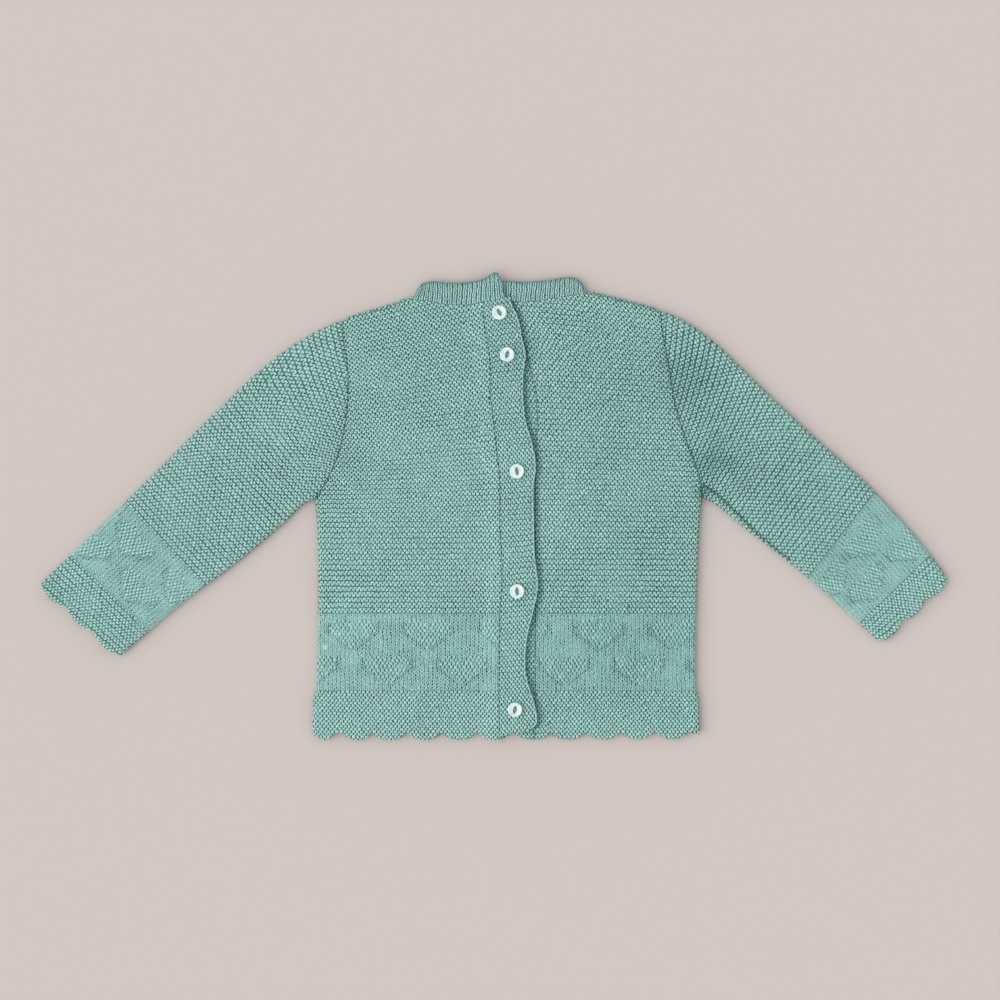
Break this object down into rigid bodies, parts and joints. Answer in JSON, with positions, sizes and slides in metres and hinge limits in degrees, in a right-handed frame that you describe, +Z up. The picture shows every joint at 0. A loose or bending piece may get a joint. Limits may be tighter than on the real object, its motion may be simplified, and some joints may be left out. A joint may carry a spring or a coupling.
{
  "type": "baby sweater",
  "caption": "Baby's knitted cotton sweater, laid flat on its front: long sleeves, standing neckband, buttoned back opening, scalloped hem and cuffs.",
  "frame": {"origin": "middle of the bounding box in X and Y, on the surface the sweater lies on", "axes": "+X across the chest from the buttonhole side to the button side, +Y from hem to collar, +Z up out of the back"},
  "size_m": [0.6349, 0.3276, 0.0115],
  "materials": {
    "mint_knit": "knitted cotton, garter stitch, matt",
    "pearl_button": "pearly white polyester, polished"
  },
  "bodies": {
    "root": {"front": "mint_knit", "back_left": "mint_knit", "back_right": "mint_knit", "sleeve_left": "mint_knit", "sleeve_right": "mint_knit", "collar": "mint_knit", "buttonhole_band": "mint_knit", "button_band": "mint_knit", "button_1": "pearl_button", "button_2": "pearl_button", "button_3": "pearl_button", "button_4": "pearl_button", "button_5": "pearl_button"}
  },
  "joints": []
}
